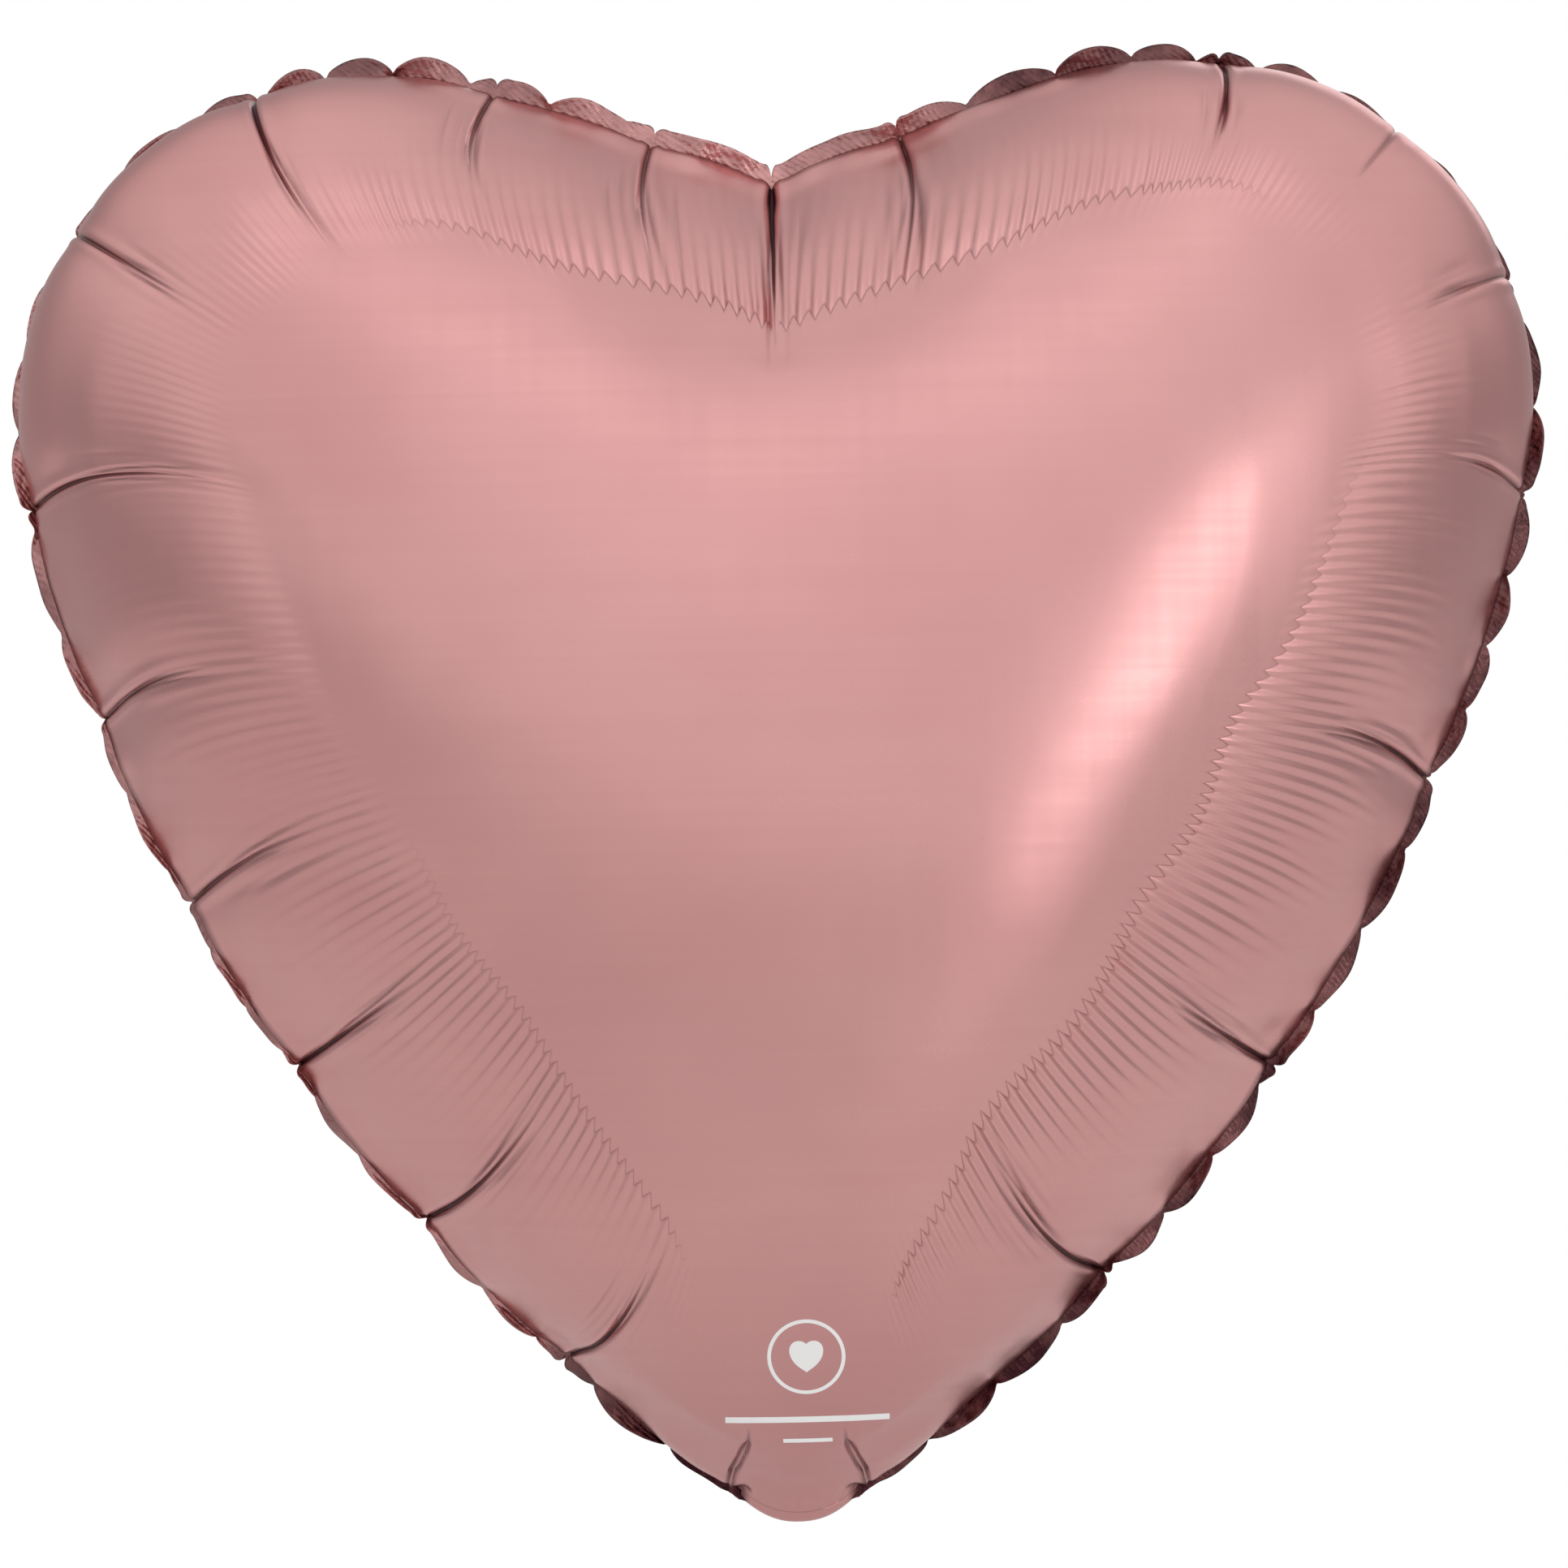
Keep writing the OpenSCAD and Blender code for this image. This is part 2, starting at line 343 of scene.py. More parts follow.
def crease_list():
    """Every crease as its place on the seam, its length in view and its strength."""
    right = [(s * HALF_LENGTH, length, strength) for s, length, strength in RIGHT_CREASES]
    left = [(-s * HALF_LENGTH, length, strength) for s, length, strength in LEFT_CREASES]
    return right + left + [CLEFT_CREASE]


COLUMN_PITCH = 1.15  # mm between the fine columns of smooth film
RIPPLED_PITCH = 0.68  # mm between them where the ripples are strong


def fine_places():
    """Places along the seam for the fine columns, crowded together at the creases and ripples."""
    at = np.linspace(0, SEAM_LENGTH, 20001)
    rippled = smooth((by_share(RIGHT_RIPPLES, LEFT_RIPPLES, at) - 0.10) / 0.12)
    from_neck = HALF_LENGTH - np.abs(around(at))
    crowd = 1 / COLUMN_PITCH + (1 / RIPPLED_PITCH - 1 / COLUMN_PITCH) * rippled
    crowd += 1.2 * smooth((22 - from_neck) / 4)
    for place, _, strength in crease_list():
        crowd += 2.0 * strength * np.exp(-(around(at - place) / 2.2) ** 2)
    total = np.concatenate([[0], np.cumsum((crowd[1:] + crowd[:-1]) / 2 * np.diff(at))])
    return np.interp(np.arange(round(total[-1])), total * round(total[-1]) / total[-1], at)


def slant(at):
    """How far a column moves along the seam for each mm inwards, to leave the seam squarely."""
    inward = -seam_out(at)
    to_middle = MIDDLE - seam(at)
    side = np.sum(to_middle * seam_way(at), -1) / np.sum(to_middle * inward, -1)
    from_cleft = np.abs(around(at))
    from_neck = HALF_LENGTH - from_cleft
    return -np.clip(side, -0.7, 0.7) * smooth(from_cleft / 60) * smooth((from_neck - 14) / 60)


def calmed(rings):
    """The coarse rings with the inflation's own chance folds smoothed out along the seam."""
    from_cleft = np.abs(around(np.arange(COLUMNS) * SEAM_LENGTH / COLUMNS))
    weight = smooth((from_cleft - 20) / 30) * smooth((HALF_LENGTH - from_cleft - 15) / 25)
    for _ in range(14):
        mean = (np.roll(rings, 1, 1) + np.roll(rings, -1, 1)) / 2
        rings = rings + 0.5 * weight[None, :, None] * (mean - rings)
    return rings


STRAIGHT_RUN = 70.0  # columns stay square to the seam this far in
OUTER_ROWS, RIDGE_ROWS, INNER_ROWS = 20, 15, 11
RIDGE_ZONE = 5.0  # the rows are close together this far to each side of the ridge


def ridge_line(at, seed):
    """How far in from the seam, in view, the ripples end in a ridge."""
    return by_share(RIGHT_RIDGE, LEFT_RIDGE, at) + 1.5 * noise(at, seed, 45)


def row_distances(at, last, seed):
    """In-view distances of the fine rows from the seam, for each column. last is the innermost."""
    ridge = ridge_line(at, seed)
    start, end = ridge - RIDGE_ZONE, np.minimum(ridge + RIDGE_ZONE, 0.92 * last)
    outer = np.linspace(0, 1, OUTER_ROWS + 1)[:-1, None] * start
    middle = start + np.linspace(0, 1, RIDGE_ROWS + 1)[:-1, None] * (end - start)
    inner = end + np.linspace(0, 1, INNER_ROWS + 1)[:, None] * (last - end)
    return np.concatenate([outer, middle, inner])


def fine_rings(rings, at, seed):
    """The ring zone resampled: its points, each one's place along the seam and share of its size."""
    reach = np.linalg.norm(seam(at) - MIDDLE, axis=-1)
    last = (1 - RING_END) * (1 - 0.6 / RINGS) * reach
    inward = row_distances(at, last, seed)
    share = 1 - inward / reach
    rows = (1 - share) / (1 - RING_END) * RINGS
    places = at + slant(at) * STRAIGHT_RUN * np.tanh(inward / STRAIGHT_RUN)
    fine = ring_surface(calmed(rings), rows, np.mod(places, SEAM_LENGTH) * COLUMNS / SEAM_LENGTH)
    exact = np.stack([seam(at)[:, 0], np.zeros(len(at)), seam(at)[:, 1]], 1)
    miss = exact - fine[0]
    depth = np.linalg.norm(fine - fine[:1], axis=-1, keepdims=True)
    fine += miss * (1 - smooth(depth / 15))
    return fine, places, share


def zipper(outer, outer_at, inner, inner_at):
    """Triangles between two loops of vertex numbers, each sorted by its place along the seam."""
    faces = []
    i = j = 0
    n, m = len(outer), len(inner)
    while i < n or j < m:
        next_outer = outer_at[(i + 1) % n] + SEAM_LENGTH * ((i + 1) // n)
        next_inner = inner_at[(j + 1) % m] + SEAM_LENGTH * ((j + 1) // m)
        if j >= m or (i < n and next_outer <= next_inner):
            faces.append((outer[i % n], outer[(i + 1) % n], inner[j % m]))
            i += 1
        else:
            faces.append((outer[i % n], inner[(j + 1) % m], inner[j % m]))
            j += 1
    return faces


# ---- creases, ripples and ridges ----

NECK_LEAN = 0.34  # how far the neck's creases lean to the middle for each mm up


def with_fine_wrinkles(creases, seed):
    """Each crease as place, length, strength, start and lean, with its branches and neighbours."""
    rng = np.random.default_rng(seed)
    out = []
    for at, length, strength in creases:
        if HALF_LENGTH - abs(at) < NECK_HALF + 5:
            side = math.copysign(1, at)
            for step in (-1.1, 1.1):
                out.append((at + side * step, length, 0.75 * strength, 0.0,
                            side * (NECK_LEAN - 0.07 * step)))
            continue
        out.append((at, length, strength, 0.0, 0.0))
        if length < 18:
            continue
        side = rng.choice((-1, 1))
        out.append((at, length * 1.15, 0.6 * strength, 0.38, side * rng.uniform(0.05, 0.09)))
        out.append((at, length * 0.95, 0.42 * strength, 0.5, -side * rng.uniform(0.05, 0.08)))
        for side in (-1, 1):
            for k in range(rng.integers(1, 4)):
                off = side * (2.4 + 2.4 * k + rng.uniform(-0.6, 0.6))
                out.append((at + off, length * rng.uniform(0.85, 1.25),
                            strength * rng.uniform(0.12, 0.30), rng.uniform(0.30, 0.6), 0.0))
    return out


CREASE_DEPTH, CREASE_FADE = 1.7, 0.5  # depth of a crease, and how soon it fades out to its sides
LIP_HEIGHT, LIP_AT, LIP_WIDTH = 0.36, 1.9, 1.2  # the raised lip on each side of a crease
GATHER_DEPTH, GATHER_WIDTH = 1.6, 9.0  # the broad dip that a crease lies in
RIM_PUFF, RIPPLED_PUFF = 0.8, 0.9  # how far the rim zone puffs out, and how much more where it ripples
SEAM_OUT, SEAM_PULL = 0.7, 0.75  # how far the seam stands out, and how much the creases pull it in


def pinch(at, inward, share, creases):
    """How far the creases pull the film in, and the painted shade inside them, from 0 to 1."""
    dip = np.zeros(np.broadcast(at, inward).shape)
    dark = np.zeros(dip.shape)
    for place, length, strength, start, lean in creases:
        off = np.abs(around(at - place) - lean * inward) * share
        run = inward / length
        fade = 1 - smooth((run - 0.5) / 0.6)
        if start:
            fade = fade * smooth((run - start + 0.2) / 0.3)
        lip = np.exp(-((off - LIP_AT) / LIP_WIDTH) ** 2)
        dip += strength * fade * (CREASE_DEPTH * np.exp(-off / CREASE_FADE) - LIP_HEIGHT * lip)
        # painted shade: a thin dark line down each crease, wider near the seam
        line_width = 0.30 + 0.5 * np.clip(1 - 2.2 * run, 0, 1)
        dark += strength * fade * np.exp(-(off / line_width) ** 2)
        if not start:
            gather = np.exp(-(off / GATHER_WIDTH) ** 2) * (1 - smooth((run - 0.5) / 1.1))
            dip += strength * GATHER_DEPTH * gather
    return dip, np.clip(dark, 0, 1)


def ripple_traits(at, seed):
    """The ripples' height at their strongest, their phase and their strength from 0 to 1."""
    amount = by_share(RIGHT_RIPPLES, LEFT_RIPPLES, at)
    turns = round(SEAM_LENGTH / RIPPLE_SPACING)
    phase = 2 * math.pi * turns * at / SEAM_LENGTH + 1.3 * noise(at, seed + 1, 34)
    return amount, phase, amount / FULL_RIPPLE


def ripple_lift(at, inward, seed):
    """Fine ripples that end in a zigzag, and the puffed rim zone between seam and zigzag."""
    amount, phase, strength = ripple_traits(at, seed)
    wave = np.arcsin(ZIGZAG_POINT * np.sin(phase)) * 2 / math.pi
    size = amount * (0.85 + 0.35 * np.abs(noise(at, seed + 2, 18)))
    end = ridge_line(at, seed) + ZIGZAG * strength * wave
    start = 8 + 4 * noise(at, seed + 3, 9)
    band = smooth((inward - start) / 26) * (1 - smooth((inward - end + 1.6) / 1.6))
    run = np.clip(inward / end, 0, 1)
    hump = 27 / 4 * run ** 2 * (1 - run)
    return size * wave * band + (RIM_PUFF + RIPPLED_PUFF * strength) * hump


def swell(points):
    """Faint, broad unevenness of the film."""
    x, z = points[..., 0], points[..., 2]
    return 0.12 * np.sin(x / 17 + 0.8 * np.sin(z / 29)) * np.sin(z / 21 + 0.7 * np.sin(x / 33))


# painted shade at the neck, darker towards the bottom of the heart
NECK_SHADE = 0.16  # darkness of the film at the neck
TIP_HEIGHT = 75.0  # it fades out this far up the heart's point
# painted shade in the seam, where the film meets the rim
SEAM_SHADE = 0.7  # darkness of the film in the seam


def seam_dip(at):
    """How deep the creases are at the seam itself."""
    return pinch(at, np.zeros_like(at), 1.0, [(*crease, 0.0, 0.0) for crease in crease_list()])[0]


def seam_shift(at):
    """How the seam itself moves: outwards in its plane, and in depth."""
    out = SEAM_OUT - SEAM_PULL * seam_dip(at)
    depth = 0.8 * noise(at, 21, 22) + 0.3 * noise(at, 22, 9)
    calm = smooth((HALF_LENGTH - 26 - np.abs(around(at))) / 20)
    return out * (0.3 + 0.7 * calm), depth * calm


def grid_normals(points):
    along = np.roll(points, -1, 1) - np.roll(points, 1, 1)
    down = np.gradient(points, axis=0)
    normal = np.cross(along, down)
    return normal / (np.linalg.norm(normal, axis=-1, keepdims=True) + 1e-12)


def detailed(rings, at, share, seed, front):
    """The ring zone of one side with its creases, ripples and ridges, and traits of each point.

    Both sides are worked out as fronts, so the back's seam moves the other way in depth."""
    normal = grid_normals(rings)
    if normal[-1, :, 1].mean() > 0:
        normal = -normal
    inward = np.linalg.norm((rings - rings[:1])[..., [0, 2]], axis=-1)
    depth = np.linalg.norm(rings - rings[:1], axis=-1)
    rng = np.random.default_rng(seed)
    creases = [(p, length * rng.uniform(0.92, 1.08), s) for p, length, s in crease_list()]
    dip, dark = pinch(at[None], inward, share, with_fine_wrinkles(creases, seed))
    lift = ripple_lift(at[None], inward, seed) + swell(rings) - dip
    lift *= smooth((share - RING_END - 0.02) / 0.06)
    out, deep = seam_shift(at)
    way = seam_out(at)
    at_seam = np.stack([way[:, 0] * out, deep if front else -deep, way[:, 1] * out], 1)
    near = 1 - smooth(depth / 9)[..., None]
    away_from_neck = smooth((HALF_LENGTH - NECK_HALF - np.abs(around(at))) / 3)
    # painted shade in the seam, except at the neck
    dark = np.maximum(dark, SEAM_SHADE * (1 - smooth(depth / 1.2)) * away_from_neck)
    # painted shade, darker towards the bottom: full at the neck, fading out up the heart's point
    dark = np.maximum(dark, NECK_SHADE * (1 - smooth((rings[..., 2] - NECK_HEIGHT - 2) / TIP_HEIGHT)))
    _, phase, strength = ripple_traits(at, seed)
    strength = strength * smooth((np.abs(around(at)) - 0.5) / 2)
    full = np.ones_like(inward)
    traits = {"dark": dark, "phase": phase * full, "strength": strength * full,
              "beyond": inward - ridge_line(at, seed)}
    return rings + normal * lift[..., None] * (1 - near) + at_seam[None] * near, traits


# ---- neck and tail ----

FOLD_RADIUS = 1.2
FOLD_RISE = 6.4  # how much higher the fold is at the neck's corners
TAIL_SLOPE = math.radians(12)
END_BEND = math.radians(35)
ROOT_LENGTH = 32.0
END_LENGTH = 50.0
CREASE_RADIUS = 1.5
NECK_TURN = math.pi / 2 + TAIL_SLOPE


def fold_height(x):
    return FOLD_RISE * np.abs(x / NECK_HALF) ** 2.2


def neck_drop(x):
    """Length of flat neck between the heart and the start of the fold."""
    return NECK_HEIGHT - fold_height(x) - FOLD_RADIUS


FOLD_PUFF = 1.6  # how far the outer film stands out where the fold starts


def puffed(x):
    """1 across the middle of the neck, down to 0 at its corners."""
    return np.clip(1 - (x / NECK_HALF) ** 2, 0, None) ** 0.7


def neck_painted_shade(x, y):
    """Painted shade of the neck's film: a little in the middle, most at its crumpled corners."""
    return NECK_SHADE + 0.7 * smooth((np.abs(x) - 11.6) / 2.6) * (1 - smooth((y - 1) / 3))


def tail_point(x, run, offset):
    """A point of the tail at rest. run is measured from the start of the neck's fold, and
    offset from the middle of the films, towards the side that is the front when it hangs."""
    turn = np.clip(run / FOLD_RADIUS, 0, NECK_TURN)
    y = FOLD_RADIUS * (1 - np.cos(turn))
    z = FOLD_RADIUS * (1 - np.sin(turn))
    straight = np.clip(run - FOLD_RADIUS * NECK_TURN, 0, None)
    bend = np.clip((straight - ROOT_LENGTH) / CREASE_RADIUS, 0, END_BEND)
    root = np.minimum(straight, ROOT_LENGTH)
    end = np.clip(straight - ROOT_LENGTH - CREASE_RADIUS * END_BEND, 0, None)
    heading = TAIL_SLOPE + bend
    y = y + root * math.cos(TAIL_SLOPE) + end * np.cos(heading)
    z = z + root * math.sin(TAIL_SLOPE) + end * np.sin(heading)
    y = y + CREASE_RADIUS * (np.sin(heading) - math.sin(TAIL_SLOPE))
    z = z + CREASE_RADIUS * (math.cos(TAIL_SLOPE) - np.cos(heading))
    angle = turn - math.pi / 2 + bend
    z = z + fold_height(x) * (1 - smooth(straight / 20))
    return np.stack([x + 0 * y, y + offset * np.sin(angle), z - offset * np.cos(angle)], -1)


# ---- building the pieces ----

def add_object(name, data):
    obj = bpy.data.objects.new(name, data)
    bpy.context.collection.objects.link(obj)
    return obj


def make_mesh(name, material, points, faces, traits=None):
    """A smooth-shaded mesh object from points in mm. traits are named values of each point."""
    mesh = bpy.data.meshes.new(name)
    mesh.from_pydata((np.asarray(points) * MM).tolist(), [], [tuple(map(int, f)) for f in faces])
    mesh.validate()
    mesh.shade_smooth()
    for trait, values in (traits or {}).items():
        mesh.attributes.new(trait, "FLOAT", "POINT").data.foreach_set("value", np.ravel(values))
    mesh.materials.append(material)
    return add_object(name, mesh)


def joined(parts):
    """The points and faces of several parts as one."""
    firsts = np.cumsum([0] + [len(points) for points, _ in parts])
    points = np.concatenate([points for points, _ in parts])
    return points, np.concatenate([faces + first for (_, faces), first in zip(parts, firsts)])


def sheet_grid(points):
    """Flattened points of a grid, and its faces."""
    return points.reshape(-1, 3), quads_of(grid_ids(points), False)


def closed_layers(front, back):
    """A thin solid from two grids of points that face away from each other."""
    ids = grid_ids(front)
    other = grid_ids(back, ids.size)
    faces = [quads_of(ids, False), quads_of(other, False)[:, ::-1]]
    for a, b in ((ids[0], other[0]), (ids[-1][::-1], other[-1][::-1]),
                 (ids[:, -1], other[:, -1]), (ids[:, 0][::-1], other[:, 0][::-1])):
        faces.append(np.stack([a[1:], a[:-1], b[:-1], b[1:]], 1))
    return np.concatenate([front.reshape(-1, 3), back.reshape(-1, 3)]), np.concatenate(faces)


NECK_ROWS = 12  # rows of film between the heart and the neck's fold
NECK_PLEAT = 0.30  # depth of the small pleats down the neck
NECK_JOIN = 17.0  # the film bends towards the neck this far up from the seam
NECK_WAY = np.array([0.0, -0.66, 0.75])


def open_neck(rings, at, puff):
    """Lets one side's film run on smoothly into the neck.

    Returns the rings, the columns of the neck, and its rows from the heart down to the fold."""
    columns = np.where(HALF_LENGTH - np.abs(around(at)) < NECK_HALF + 0.01)[0]
    top = rings[:, columns]
    x = np.clip(top[0, :, 0], -NECK_HALF, NECK_HALF)
    low = np.stack([x, -HALF_STACK - puff * puffed(x), NECK_HEIGHT - neck_drop(x)], 1)
    t = np.linspace(0, 1, NECK_ROWS + 1)[:0:-1, None, None]
    path = np.concatenate([top[0] + (low - top[0]) * t, top])
    steps = np.linalg.norm(np.diff(path, axis=0), axis=-1)
    along = np.concatenate([np.zeros((1, len(columns))), np.cumsum(steps, axis=0)])
    weight = smooth(1.6 * puffed(x))
    for c in range(len(columns)):
        join = np.searchsorted(along[:, c], along[NECK_ROWS, c] + NECK_JOIN)
        start, end = path[0, c], path[join, c]
        reach = np.linalg.norm(end - start)
        way = path[join + 1, c] - path[join - 1, c]
        first = start + 0.4 * reach * NECK_WAY
        second = end - 0.35 * reach * way / np.linalg.norm(way)
        s = (along[:join + 1, c] / along[join, c])[:, None]
        curve = (1 - s) ** 3 * start + 3 * (1 - s) ** 2 * s * first
        curve += 3 * (1 - s) * s ** 2 * second + s ** 3 * end
        pleat = NECK_PLEAT * math.sin(1.6 * x[c] + 0.8 * math.sin(x[c] / 3))
        curve[:, 1] -= (pleat * smooth(s / 0.2) * (1 - smooth((s - 0.25) / 0.5)))[:, 0]
        path[:join + 1, c] += weight[c] * (curve - path[:join + 1, c])
    rings = rings.copy()
    rings[:, columns] = path[NECK_ROWS:]
    return rings, columns, path[NECK_ROWS - 1::-1]


CALM_FROM, CALM_BLEND = 0.14, 0.10  # even_out starts this share outside the rings' end, and blends in
CALM_PASSES = 30


def whole_side(coarse_rings, coarse_block, at, seed):
    """The fine rings and block of one side zipped together.

    Returns the points, the vertex numbers of the rings, the faces and the rings' shares."""
    rings, places, share = fine_rings(coarse_rings, at, seed)
    steps = np.arange(2 * CELLS + 1) / 2
    block = spline(np.swapaxes(spline(coarse_block, steps), 0, 1), steps)
    block = np.swapaxes(block, 0, 1)
    fine_ids = grid_ids(rings)
    inner_ids = grid_ids(block, fine_ids.size)
    border = np.concatenate([inner_ids[0, :-1], inner_ids[:-1, -1], inner_ids[-1, :0:-1],
                             inner_ids[:0:-1, 0]])
    loop = np.roll(border, -CELLS)
    loop_at = np.arange(len(border)) * SEAM_LENGTH / len(border)
    faces = [*quads_of(fine_ids, True).tolist(), *zipper(fine_ids[-1], places[-1], loop, loop_at),
             *quads_of(inner_ids, False).tolist()]
    points = np.concatenate([rings.reshape(-1, 3), block.reshape(-1, 3)])
    calm = np.concatenate([smooth((RING_END + CALM_FROM - share) / CALM_BLEND).ravel(),
                           np.ones(inner_ids.size)])[:, None]
    return even_out(points, faces, calm, CALM_PASSES), fine_ids, faces, share


def panel(coarse_rings, coarse_block, at, front, seed):
    """One side of the balloon with all its detail: points, faces and traits of the points."""
    points, fine_ids, faces, share = whole_side(coarse_rings, coarse_block, at, seed)
    rings = points[fine_ids]
    at_neck = smooth((NECK_HALF + 5 - (HALF_LENGTH - np.abs(around(at)))) / 5)
    spread = 1 - smooth(np.linalg.norm(rings - rings[:1], axis=-1) / 8)
    rings[..., 1] -= HALF_STACK * at_neck * spread
    rings, columns, strip = open_neck(rings, at, FOLD_PUFF if front else 0.0)
    seam_row = rings[0, columns]
    rings, traits = detailed(rings, at, share, seed, front)
    t = np.linspace(0, 1, NECK_ROWS + 1)[1:, None, None]
    strip = strip + (rings[0, columns] - seam_row) * (1 - t) ** 2
    points[fine_ids] = rings
    strip_ids = np.concatenate([fine_ids[:1, columns], grid_ids(strip, len(points))])
    faces += quads_of(strip_ids[::-1], False).tolist()
    block_traits = {"beyond": STRAIGHT_RUN}
    # painted shade on the neck's strip of film
    strip_traits = {"dark": neck_painted_shade(strip[..., 0], 0.0).ravel(), "beyond": -STRAIGHT_RUN}
    for name, values in traits.items():
        traits[name] = np.concatenate([
            values.ravel(), np.full(len(points) - fine_ids.size, block_traits.get(name, 0.0)),
            np.zeros(strip[..., 0].size) + strip_traits.get(name, 0.0)])
    points = np.concatenate([points, strip.reshape(-1, 3)])
    if not front:
        points = points * [1, -1, 1]
        faces = [f[::-1] for f in faces]
    return points, faces, traits


def even_out(points, faces, weight, passes):
    """Smooths the points where weight is above 0."""
    corners = np.array([list(f) + [f[0]] * (5 - len(f)) for f in faces])
    edges = np.concatenate([corners[:, [k, k + 1]] for k in range(4)])
    edges = np.unique(np.sort(edges[edges[:, 0] != edges[:, 1]], 1), axis=0)
    moving = weight[edges].max(axis=(1, 2)) > 0
    edges = edges[moving]
    a, b = edges.T
    count = np.maximum(np.bincount(edges.ravel(), minlength=len(points)), 1)[:, None]
    for _ in range(passes):
        total = np.stack([np.bincount(a, points[b, c], len(points))
                          + np.bincount(b, points[a, c], len(points)) for c in range(3)], 1)
        points = points + (total / count - points) * (0.5 * weight)
    return points


RIM_END = HALF_LENGTH - NECK_HALF  # the seam's distance from the cleft to a corner of the neck
CORNER_RUN = 6.5  # the rim goes on this far down past the corner
CORNER_WIDTH = 3.0  # its width there
SCALLOP, SCALLOP_CHANGE = 21, 7  # mean length of a scallop of the rim, and how much it varies
SCALLOP_LEAST, SCALLOP_MOST = 10, 34
VALLEY_WIDTH = 0.7  # width of the rim between two scallops
RIM_SWAY = 1.8  # how far the rim leans to the front and back
RIM_ROWS = 7


def rim_path(at):
    """Points of the rim's inner edge, and how far past a corner of the neck they are."""
    past = np.clip(np.abs(at) - RIM_END, 0, None)
    side = np.sign(at)
    corner = seam(np.clip(at, -RIM_END, RIM_END))
    return corner + np.stack([-0.6 * side * past, -0.78 * past], 1), past


def rim_flange(at_all, material):
    """The welded rim from one neck corner over the lobes to the other, as a thin crumpled band."""
    at = np.sort(around(at_all))
    at = at[np.abs(at) < RIM_END + CORNER_RUN]
    base, past = rim_path(at)
    on_seam = np.clip(at, -RIM_END + 1.5, RIM_END - 1.5)
    out, deep = seam_shift(on_seam)
    way = seam_out(on_seam)
    lengths = np.clip(SCALLOP + SCALLOP_CHANGE * noise(at, 31, 90), SCALLOP_LEAST, SCALLOP_MOST)
    phase = np.cumsum(np.gradient(at) / lengths)
    scallop = np.abs(np.sin(math.pi * phase)) ** 0.6
    scallop = scallop + (1 - scallop) * (1 - smooth((np.abs(at) - 30) / 20))
    most = by_share(RIGHT_RIM, LEFT_RIM, at)
    width = VALLEY_WIDTH + (most - VALLEY_WIDTH) * scallop + 0.22 * noise(at, 32, 12) - 0.3 * seam_dip(at)
    at_corner = smooth((np.abs(at) - RIM_END + 5) / 4)
    width = width + (CORNER_WIDTH - width) * at_corner
    width = np.clip(width, 0.4, None) * (1 - 0.8 * smooth(past / CORNER_RUN))
    sway = RIM_SWAY * np.sin(math.pi * phase + 0.7) + 0.5 * noise(at, 33, 24)
    calm = smooth((RIM_END - np.abs(at)) / 12)
    layers = []
    for skin in (1, -1):
        grid = np.empty((RIM_ROWS, len(at), 3))
        for r in range(RIM_ROWS):
            t = r / (RIM_ROWS - 1)
            crumple = 0.16 * noise(at, 40 + r // 2, 5, 40) * t
            radial = out - 0.5 + (width + 0.5) * t
            y = deep + (sway * t ** 1.4 + crumple) * calm
            y = y + skin * (0.10 + 0.05 * (1 - t))
            point = base + way * radial[:, None]
            grid[r] = np.stack([point[:, 0], y, point[:, 1]], 1)
        layers.append(grid)
    # painted dark reflection along the rim, from the tables of the two sides
    dark = np.tile(by_share(RIGHT_RIM_PAINTED_SHADE, LEFT_RIM_PAINTED_SHADE, at), 2 * RIM_ROWS)
    return make_mesh("rim_flange", material, *closed_layers(*layers), {"dark": dark})


def wrinkles(x, run, seed, most_across, most_along):
    """Random waves over a film of the tail, about -1 to 1, up to two most frequencies."""
    rng = np.random.default_rng(seed)
    total = 0
    for _ in range(9):
        u, v = rng.uniform(-most_across, most_across), rng.uniform(0.05, most_along)
        total = total + np.sin(u * x + v * run + rng.uniform(0, 6.3))
    return total / 3


def tail_grid(half_width, start, end, offset, across, along, seed, crumple=0.12, puff=0.0):
    """A film of the neck's fold or tail as a grid, between two runs along it."""
    x = np.linspace(-half_width, half_width, across)[None, :]
    run = np.linspace(start, end, along)[:, None]
    loose = smooth((run - start) / 6) * smooth((end - run) / 6)
    puff = puff * puffed(x) * np.exp(-np.clip(run, 0, None) / 2.2)
    return tail_point(x, run, offset + puff + crumple * wrinkles(x, run, seed, 0.6, 0.5) * loose)


def film_piece(name, grids, material, with_painted_shade=False):
    """A mesh of several separate films, each given as a grid of points."""
    points, faces = joined([sheet_grid(grid) for grid in grids])
    traits = {"dark": neck_painted_shade(points[:, 0], points[:, 1])} if with_painted_shade else None
    return make_mesh(name, material, points, faces, traits)


FOLD_RUN = FOLD_RADIUS * NECK_TURN
FOLD_HALF = NECK_HALF - 0.8  # half the fold's width
FOLD_LAP = 0.3  # the fold's film starts this far up inside the neck's
FOLD_END = FOLD_RUN + 8.0  # the fold's own piece of film runs this far
TAIL_RUN = FOLD_RUN + ROOT_LENGTH + CREASE_RADIUS * END_BEND + END_LENGTH - CREASE_RADIUS
TAIL_WELD = 4.0
VALVE_HALF = 12.0
HOLE_RADIUS = 2.5
HOLE_INSET = 9.0
VALVE_START, VALVE_TOP = 10.3, 110.3
TAIL_CURL = 1.6  # how far the tail's end curls up at its sides
CRIMP_PITCH = 1.6  # spacing of the ridges across the tail's side welds
WELD_PROUD = 0.28  # how far the welds stand out past the films
HOLE_REACH = 9.0  # the grid closes up round the hole within this distance of it
HOLE_SEED = 0.55  # faces of the open grid this near the hole's middle are left out


